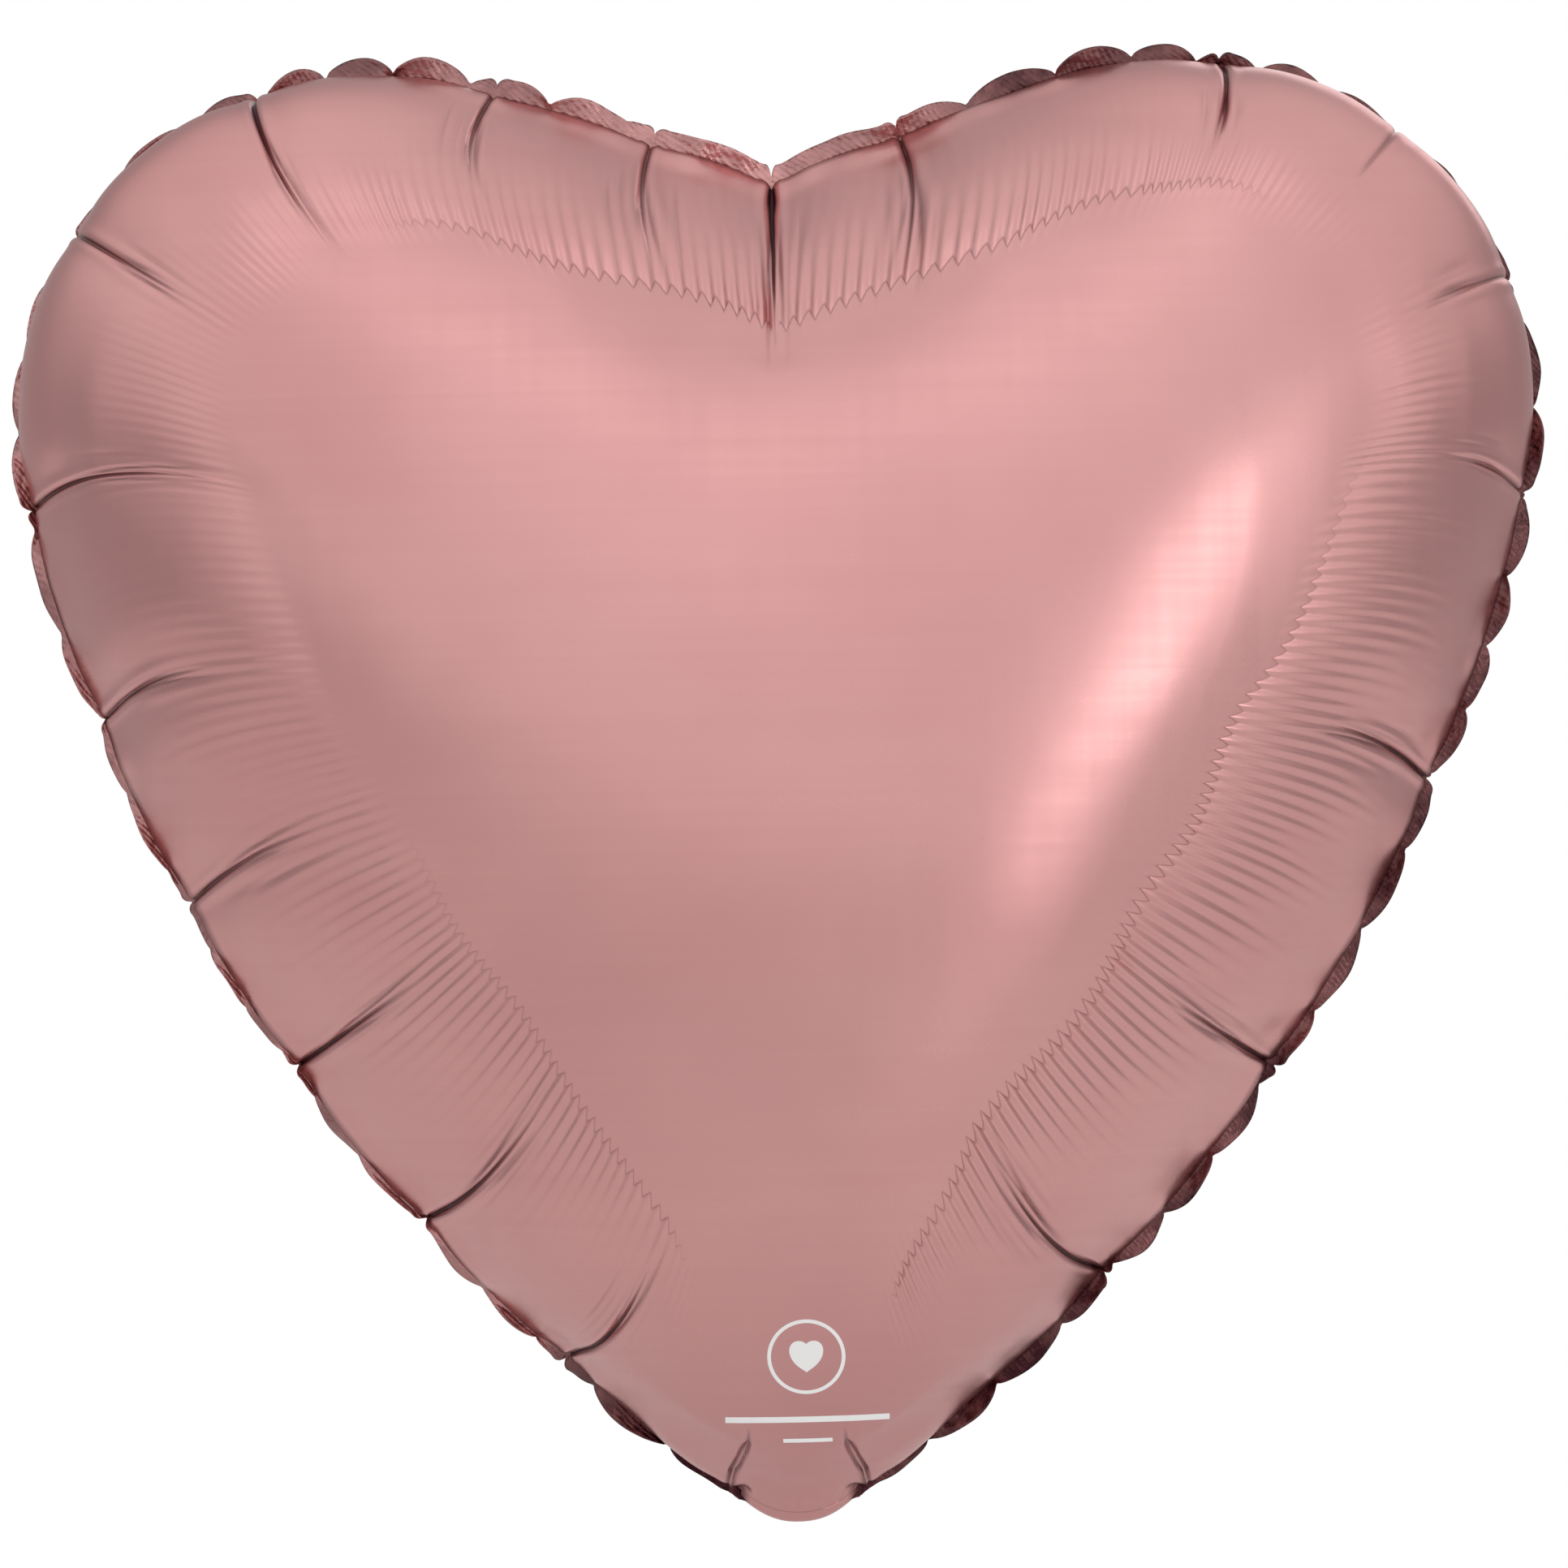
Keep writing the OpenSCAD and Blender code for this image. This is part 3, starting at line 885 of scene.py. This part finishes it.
def holed_film(half_width, start, end, offset, seed):
    """A tail film whose grid closes up round the ribbon hole, and the faces that stay."""
    across, along = 45, 150
    x = np.linspace(-half_width, half_width, across)[None, :] + np.zeros((along, 1))
    run = np.linspace(start, end, along)[:, None] + np.zeros((1, across))
    centre = TAIL_RUN - HOLE_INSET
    away = np.hypot(x, run - centre) + 1e-6
    pushed = HOLE_RADIUS + away * (1 - HOLE_RADIUS / HOLE_REACH)
    share = np.where(away < HOLE_REACH, pushed / away, 1.0)
    new_x = x * share
    new_run = centre + (run - centre) * share
    curl = TAIL_CURL * (new_x / half_width) ** 2
    curl *= smooth((new_run - FOLD_RUN - ROOT_LENGTH) / END_LENGTH)
    lift = 0.14 * wrinkles(new_x, new_run, seed, 0.5, 0.45) - curl
    points = tail_point(new_x, new_run, offset + lift * smooth((new_run - start) / 6))
    points, faces = sheet_grid(points)
    middle = np.stack([x, run - centre], -1).reshape(-1, 2)[faces].mean(1)
    return points, faces[np.hypot(middle[:, 0], middle[:, 1]) > HOLE_SEED]


def tail_film(name, offset, material, seed):
    return make_mesh(name, material, *holed_film(NECK_HALF, FOLD_END - 1.0, TAIL_RUN, offset, seed))


def tail_welds(material):
    """The crimped weld down each side of the tail, a thin closed strip with cross ridges."""
    parts = []
    run = np.linspace(FOLD_END, TAIL_RUN - 0.5, 190)[:, None]
    crimp = 0.07 * np.sin(2 * math.pi * run / CRIMP_PITCH)
    curl = TAIL_CURL * smooth((run - FOLD_RUN - ROOT_LENGTH) / END_LENGTH) * smooth((run - FOLD_END) / 6)
    for side in (-1, 1):
        x = side * np.linspace(NECK_HALF - TAIL_WELD, NECK_HALF + 0.15, 9)[None, ::side]
        bow = curl * (x / NECK_HALF) ** 2
        skins = [tail_point(x, run, layer * (HALF_STACK + WELD_PROUD) + crimp - bow) for layer in (1, -1)]
        parts.append(closed_layers(*skins))
    return make_mesh("tail_side_welds", material, *joined(parts))


def neck_fold_film(material):
    """The outer and inner films that turn round the fold at the neck."""
    outer = tail_grid(FOLD_HALF, -FOLD_LAP, FOLD_END, HALF_STACK, 61, 40, 3, puff=FOLD_PUFF)
    inner = tail_grid(FOLD_HALF, -FOLD_LAP, FOLD_END, -HALF_STACK, 61, 40, 4)
    return film_piece("neck_fold_film", [outer, inner], material, True)


def valve_neck_films(material):
    """The two clear valve films inside the neck, down to the fold."""
    x = np.linspace(-VALVE_HALF, VALVE_HALF, 33)[None, :]
    drop = np.linspace(-0.8, 1, 9)[:, None]
    z = np.where(drop < 0, NECK_HEIGHT - drop, NECK_HEIGHT - neck_drop(x) * drop)
    grids = [np.stack([x + 0 * z, side * (0.22 + 0.06 * np.sin(0.9 * x + z)), z], -1)
             for side in (-1, 1)]
    return film_piece("valve_neck_films", grids, material)


def tail_valve_films(material):
    """The clear valve films that line the tail's root, as the filling straw's way in."""
    grids = [tail_grid(NECK_HALF - TAIL_WELD, FOLD_END, FOLD_RUN + ROOT_LENGTH - 1.5, side * 0.25,
                       31, 40, 6 + side, 0.05) for side in (-1, 1)]
    return film_piece("tail_valve_films", grids, material)


def valve_film(name, side, material):
    """One of the two limp clear films that close against each other inside the heart."""
    z = np.linspace(VALVE_START, VALVE_TOP, 101)[:, None]
    x = np.linspace(-VALVE_HALF, VALVE_HALF, 37)[None, :]
    up = (z - VALVE_START) / (VALVE_TOP - VALVE_START)
    pillow = 0.30 * np.cos(math.pi * x / (2 * VALVE_HALF)) * np.sin(math.pi * up)
    flutter = 0.10 * np.sin(0.5 * x + 0.16 * z) * smooth(up * 3)
    y = side * (0.28 + pillow + 0.5 * np.abs(flutter))
    narrow = 1 - 0.05 * smooth((up - 0.8) / 0.2)
    weld = 0.05 * (np.abs(x) > VALVE_HALF - 1.5) * np.sin(2 * math.pi * z / 1.3)
    return film_piece(name, [np.stack([x * narrow, y + side * weld, z + 0 * x], -1)], material)


# ---- materials ----

class Nodes:
    """A node tree, with its nodes added one by one."""

    def __init__(self, tree):
        self.tree = tree

    def node(self, kind, inputs=None, **settings):
        """Adds a node. inputs holds sockets or plain values, by the name or number of the input."""
        node = self.tree.nodes.new(kind)
        for key, value in settings.items():
            setattr(node, key, value)
        for key, value in (inputs or {}).items():
            if isinstance(value, bpy.types.NodeSocket):
                self.tree.links.new(value, node.inputs[key])
            else:
                node.inputs[key].default_value = value
        return node

    def maths(self, operation, *values):
        return self.node("ShaderNodeMath", dict(enumerate(values)), operation=operation).outputs[0]

    def times(self, first, second):
        return self.maths("MULTIPLY", first, second)


class Finish(Nodes):
    """A material's nodes, which lead to a Principled shader."""

    def __init__(self, name, colour, metallic, roughness):
        self.material = bpy.data.materials.new(name)
        self.material.use_nodes = True
        super().__init__(self.material.node_tree)
        self.shader = self.tree.nodes["Principled BSDF"]
        self.shader.inputs["Base Color"].default_value = (*colour, 1)
        self.shader.inputs["Metallic"].default_value = metallic
        self.shader.inputs["Roughness"].default_value = roughness
        self.place = self.node("ShaderNodeTexCoord").outputs["Object"]

    def stretched(self, scale):
        return self.node("ShaderNodeMapping", {"Vector": self.place, "Scale": scale}).outputs[0]

    def trait(self, name):
        """A value that the mesh carries at each point."""
        return self.node("ShaderNodeAttribute", attribute_name=name).outputs["Fac"]

    def noise(self, scale, detail=2.0, place=None):
        inputs = {"Vector": place or self.place, "Scale": scale, "Detail": detail}
        return self.node("ShaderNodeTexNoise", inputs).outputs["Fac"]

    def between(self, value, low, high, from_low=0.3, from_high=0.7):
        """A value's stretch from from_low to from_high, moved to the one from low to high."""
        inputs = dict(enumerate((value, from_low, from_high, low, high)))
        return self.node("ShaderNodeMapRange", inputs).outputs[0]

    def mix(self, share, first, second):
        """Two colours mixed. Each is a socket, or red, green and blue."""
        first, second = [(*c, 1) if isinstance(c, tuple) else c for c in (first, second)]
        return self.node("ShaderNodeMix", {0: share, 6: first, 7: second}, data_type="RGBA").outputs[2]

    def bump(self, height, strength, distance, below=None):
        inputs = {"Strength": strength, "Distance": distance, "Height": height}
        if below is not None:
            inputs["Normal"] = below
        return self.node("ShaderNodeBump", inputs).outputs["Normal"]

    def set(self, name, value):
        self.tree.links.new(value, self.shader.inputs[name])


ROSE = (0.74, 0.385, 0.375)
ROSE_DEEP = (0.68, 0.335, 0.33)
# the weld's two darkest colours are painted dark reflection, with random patches between them
WELD_PAINTED_SHADE = (0.040, 0.010, 0.014)
WELD_LIGHT = (0.21, 0.085, 0.085)
WELD_PALE = (0.48, 0.24, 0.235)
# colour of the painted shade in creases, in the seam, at the neck and along the ripples' zigzag edge
PAINTED_SHADE_COLOUR = (0.05, 0.010, 0.014)


EDGE_HEIGHT = 0.60  # how far the zigzag edge stands out


def zigzag_edge(finish):
    """The crisp edge where the ripples end: its height in mm, and a thin line of painted shade along it.
    """
    swing = finish.times(finish.maths("SINE", finish.trait("phase")), ZIGZAG_POINT)
    wave = finish.times(finish.maths("ARCSINE", swing), ZIGZAG * 2 / math.pi)
    strength = finish.trait("strength")
    reach = finish.times(wave, strength)
    off = finish.maths("ABSOLUTE", finish.maths("SUBTRACT", finish.trait("beyond"), reach))
    crest = finish.maths("EXPONENT", finish.times(off, -1.1))
    # painted shade: a thin dark line along the zigzag edge
    thin = finish.maths("EXPONENT", finish.times(finish.times(off, off), -7.0))
    shown = finish.between(strength, 0.0, 0.32, 0.38, 0.75)
    return finish.times(finish.times(crest, shown), EDGE_HEIGHT), finish.times(thin, shown)


def film_texture(finish):
    """Faint lines of the rolled film, across and down, and its fine grain. Returns the colour with
    painted shade.
    """
    across = finish.noise(1.0, 3.0, finish.stretched((5, 5, 420)))
    down = finish.noise(1.0, 3.0, finish.stretched((300, 5, 4)))
    grain = finish.noise(1800, 2.0)
    lines = finish.maths("ADD", across, down)
    height = finish.maths("MULTIPLY_ADD", grain, 0.35, lines)
    edge, edge_shade_line = zigzag_edge(finish)
    finish.set("Normal", finish.bump(height, 0.018, 0.0001, finish.bump(edge, 1.0, MM)))
    cloud = finish.noise(14, 3.0)
    finish.set("Roughness", finish.between(finish.maths("ADD", cloud, lines), 0.27, 0.34, 1.2, 1.8))
    share = finish.between(finish.maths("MULTIPLY_ADD", across, 0.18, cloud), 0, 1, 0.4, 0.85)
    # painted shade mixed into the film's colour
    dark = finish.maths("MAXIMUM", finish.trait("dark"), edge_shade_line)
    return finish.mix(dark, finish.mix(share, ROSE, ROSE_DEEP), PAINTED_SHADE_COLOUR)


MARK_X, MARK_Z, MARK_RADIUS = 2.5, 42.0, 9.0
MARK_LINE = 0.9  # width of the ring's line
MARK_HEART = 3.6  # about half the small heart's width
MARK_BARS = ((26.0, 20.0, 0.75), (20.5, 6.0, 0.5))  # height, half the length, half the width
MARK_WHITE = (0.93, 0.92, 0.91)


def print_mask(finish):
    """1 on a plain printed mark low on the front: a ring round a small heart, above two bars."""
    axes = finish.node("ShaderNodeSeparateXYZ", {0: finish.place})
    x = finish.maths("MULTIPLY_ADD", axes.outputs["X"], 1 / MM, -MARK_X)
    z = finish.times(axes.outputs["Z"], 1 / MM)
    up = finish.maths("SUBTRACT", z, MARK_Z)
    x2 = finish.times(x, x)
    away = finish.maths("SQRT", finish.maths("MULTIPLY_ADD", up, up, x2))
    ring = finish.maths("COMPARE", away, MARK_RADIUS, MARK_LINE / 2)
    hx = finish.maths("DIVIDE", x, MARK_HEART)
    hz = finish.maths("DIVIDE", finish.maths("SUBTRACT", up, -0.4), MARK_HEART)
    hx2 = finish.times(hx, hx)
    body = finish.maths("SUBTRACT", finish.maths("MULTIPLY_ADD", hz, hz, hx2), 1.0)
    tip = finish.times(hx2, finish.maths("POWER", hz, 3.0))
    heart = finish.maths("LESS_THAN", finish.maths("POWER", body, 3.0), tip)
    bars = 0.0
    for height, half_length, half_width in MARK_BARS:
        level = finish.maths("COMPARE", z, height, half_width)
        within = finish.maths("COMPARE", x, 0.0, half_length)
        bars = finish.maths("MULTIPLY_ADD", level, within, bars)
    total = finish.maths("ADD", finish.maths("ADD", ring, heart), bars)
    on_front = finish.maths("LESS_THAN", axes.outputs["Y"], -4 * MM)
    return finish.times(finish.maths("MINIMUM", total, 1.0), on_front)


def foil(name, printed):
    finish = Finish(name, ROSE, 1.0, 0.3)
    colour = film_texture(finish)
    if printed:
        mask = print_mask(finish)
        colour = finish.mix(mask, colour, MARK_WHITE)
        finish.set("Metallic", finish.maths("SUBTRACT", 1.0, mask))
    finish.set("Base Color", colour)
    return finish.material


def weld(name):
    """The heat-welded rim: crumpled and pressed with fine slanting ridges, its colour darkened with
    painted dark reflection.
    """
    finish = Finish(name, WELD_PAINTED_SHADE, 1.0, 0.3)
    patches = finish.noise(42, 3.0)
    crumple = finish.noise(330, 4.0)
    folds = finish.noise(1.0, 3.0, finish.stretched((150, 150, 150)))
    height = finish.maths("MULTIPLY_ADD", folds, 2.0, crumple)
    below = finish.bump(height, 0.8, 0.0009)
    ridges = finish.node("ShaderNodeTexWave", {"Vector": finish.place, "Scale": 330, "Distortion": 1.5},
                         bands_direction="DIAGONAL")
    finish.set("Normal", finish.bump(ridges.outputs["Fac"], 0.35, 0.0003, below))
    finish.set("Roughness", finish.between(crumple, 0.22, 0.42))
    share = finish.between(finish.maths("MULTIPLY_ADD", crumple, 0.5, patches), 0, 1, 0.62, 0.98)
    patchy_shade = finish.mix(share, WELD_PAINTED_SHADE, WELD_LIGHT)
    lighter = finish.mix(share, WELD_PALE, ROSE)
    # painted dark reflection: the rim's trait turns the paler weld colour to the dark patches
    finish.set("Base Color", finish.mix(finish.trait("dark"), lighter, patchy_shade))
    return finish.material


def clear_film(name):
    finish = Finish(name, (0.9, 0.9, 0.88), 0.0, 0.18)
    finish.shader.inputs["IOR"].default_value = 1.5
    haze = finish.noise(160, 4.0)
    finish.set("Alpha", finish.between(haze, 0.35, 0.55))
    finish.set("Roughness", finish.between(haze, 0.12, 0.28))
    streaks = finish.noise(1.0, 3.0, finish.stretched((700, 60, 30)))
    finish.set("Normal", finish.bump(finish.maths("ADD", haze, streaks), 0.3, 0.0002))
    return finish.material


def plain(name, colour, roughness):
    finish = Finish(name, colour, 0.0, roughness)
    finish.set("Roughness", finish.between(finish.noise(30, 3.0), roughness - 0.05, roughness + 0.05))
    return finish.material


# ---- the object ----

INFLATION_STEPS = 200

front_material = foil("front_foil_film", True)
back_material = foil("back_foil_film", False)
weld_material = weld("weld_foil_film")
valve_material = clear_film("valve_clear_film")

filled = inflate(INFLATION_STEPS)
places_along = fine_places()
front_foil = make_mesh("front_foil", front_material, *panel(*filled, places_along, True, 7))
back_foil = make_mesh("back_foil", back_material, *panel(*filled, places_along, False, 8))
flange = rim_flange(places_along, weld_material)
fold_film = neck_fold_film(front_material)
tail_front = tail_film("tail_front_film", HALF_STACK, front_material, 11)
tail_back = tail_film("tail_back_film", -HALF_STACK, back_material, 12)
side_welds = tail_welds(weld_material)
neck_valve = valve_neck_films(valve_material)
tail_valve = tail_valve_films(valve_material)
valve_front = valve_film("valve_front_film", -1, valve_material)
valve_back = valve_film("valve_back_film", 1, valve_material)

# ---- what each piece stands for and moves with ----

# A piece with None for its body is attached to no body, and its place is baked into its mesh below.
for piece, slot, body, nodes in (
        (front_foil, "front_foil", "envelope", ("front_panel", "neck_front")),
        (back_foil, "back_foil", "envelope", ("back_panel", "neck_back")),
        (flange, "weld_foil", "envelope", ("rim_weld",)),
        (fold_film, "front_foil", None, ("neck_fold",)),
        (tail_front, "front_foil", None, ("tail_root_front", "tail_end_front", "tail_crease")),
        (tail_back, "back_foil", None, ("tail_root_back", "tail_end_back")),
        (side_welds, "weld_foil", None, ("tail_root_welds", "tail_end_welds")),
        (neck_valve, "valve_film", "envelope", ("valve_neck_front", "valve_neck_back")),
        (tail_valve, "valve_film", "tail_root", ("tail_root_valve_front", "tail_root_valve_back")),
        (valve_front, "valve_film", "valve_front", ("valve_film_front",)),
        (valve_back, "valve_film", "valve_back", ("valve_film_back",))):
    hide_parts(*nodes)
    if body:
        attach(piece, body)

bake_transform(fold_film)
for piece in (tail_front, tail_back, side_welds):
    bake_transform(piece)

# ---- floor, light and camera ----

FLOOR_DROP = 600.0
FLOOR_RADIUS = 2600.0
FRAME_WIDTH_M = 0.3864
LENS, SENSOR_WIDTH = 200.0, 36.0
CAMERA_ROLL = math.radians(-1.2)
AIM_M = Vector((0, 0, 0.1804))


def floor():
    edge = arc((0.0, 0.0), FLOOR_RADIUS, 0, 2 * math.pi, 97)[:-1]
    points = [(x, y, -FLOOR_DROP) for x, y in edge]
    material = plain("pale_floor", (0.86, 0.86, 0.85), 0.7)
    make_mesh("floor", material, points, [range(len(points))])


def softbox(name, place, width, height, radiance):
    """A soft rectangular light that faces the balloon, its power worked out from its brightness."""
    light = bpy.data.lights.new(name, "AREA")
    light.shape = "RECTANGLE"
    light.size, light.size_y = width, height
    light.energy = radiance * math.pi * width * height
    obj = add_object(name, light)
    obj.visible_camera = False
    obj.location = place
    obj.rotation_euler = (AIM_M - Vector(place)).to_track_quat("-Z", "Y").to_euler()


# Brightness of the surroundings by direction: 0 faces away from the key side, 1 faces it.
KEY_SIDE = Vector((0.06, -0.74, 0.67)).normalized()
GLOW = ((0.0, 0.47), (0.20, 0.45), (0.38, 0.41), (0.50, 0.48), (0.62, 0.66), (0.71, 0.80), (0.80, 0.87),
        (0.87, 0.87), (1.0, 1.05))


def surroundings(seen):
    """A soft pale room: brightest high in front, and nearly white where the camera sees it."""
    world = bpy.data.worlds.new("studio")
    bpy.context.scene.world = world
    world.use_nodes = True
    nodes = Nodes(world.node_tree)
    nodes.tree.nodes.clear()
    place = nodes.node("ShaderNodeTexCoord").outputs["Generated"]
    toward = nodes.node("ShaderNodeVectorMath", {0: place, 1: KEY_SIDE}, operation="DOT_PRODUCT")
    share = nodes.maths("MULTIPLY_ADD", toward.outputs["Value"], 0.5, 0.5)
    ramp = nodes.node("ShaderNodeFloatCurve", {"Value": share})
    points = ramp.mapping.curves[0].points
    points[0].location, points[-1].location = GLOW[0], GLOW[-1]
    ramp.mapping.clip_max_y = 2.0
    ramp.mapping.use_clip = False
    for at, value in GLOW[1:-1]:
        points.new(at, value)
    ramp.mapping.update()
    lit, white = [nodes.node("ShaderNodeBackground", {"Color": (1, 1, 1, 1), "Strength": strength})
                  for strength in (ramp.outputs[0], seen)]
    by_camera = nodes.node("ShaderNodeLightPath").outputs["Is Camera Ray"]
    mixed = nodes.node("ShaderNodeMixShader", {0: by_camera, 1: lit.outputs[0], 2: white.outputs[0]})
    nodes.node("ShaderNodeOutputWorld", {"Surface": mixed.outputs[0]})


def camera():
    data = bpy.data.cameras.new("camera")
    data.lens = LENS
    data.sensor_width = SENSOR_WIDTH
    obj = add_object("camera", data)
    away = FRAME_WIDTH_M * LENS / SENSOR_WIDTH
    facing = Vector((0, 1, 0)).to_track_quat("-Z", "Y").to_matrix()
    obj.matrix_world = (Matrix.Translation(AIM_M - Vector((0, away, 0)))
                        @ (facing @ Matrix.Rotation(CAMERA_ROLL, 3, "Z")).to_4x4())
    bpy.context.scene.camera = obj


floor()
surroundings(1.0)
softbox("right_strip", (1.10, -1.10, 0.10), 0.42, 1.0, 1.45)
softbox("top_light", (-0.1, -0.9, 1.9), 1.4, 0.7, 0.2)
softbox("back_light", (0.9, 1.7, 1.3), 1.5, 1.0, 0.8)
camera()
bpy.context.scene.view_settings.view_transform = "Standard"
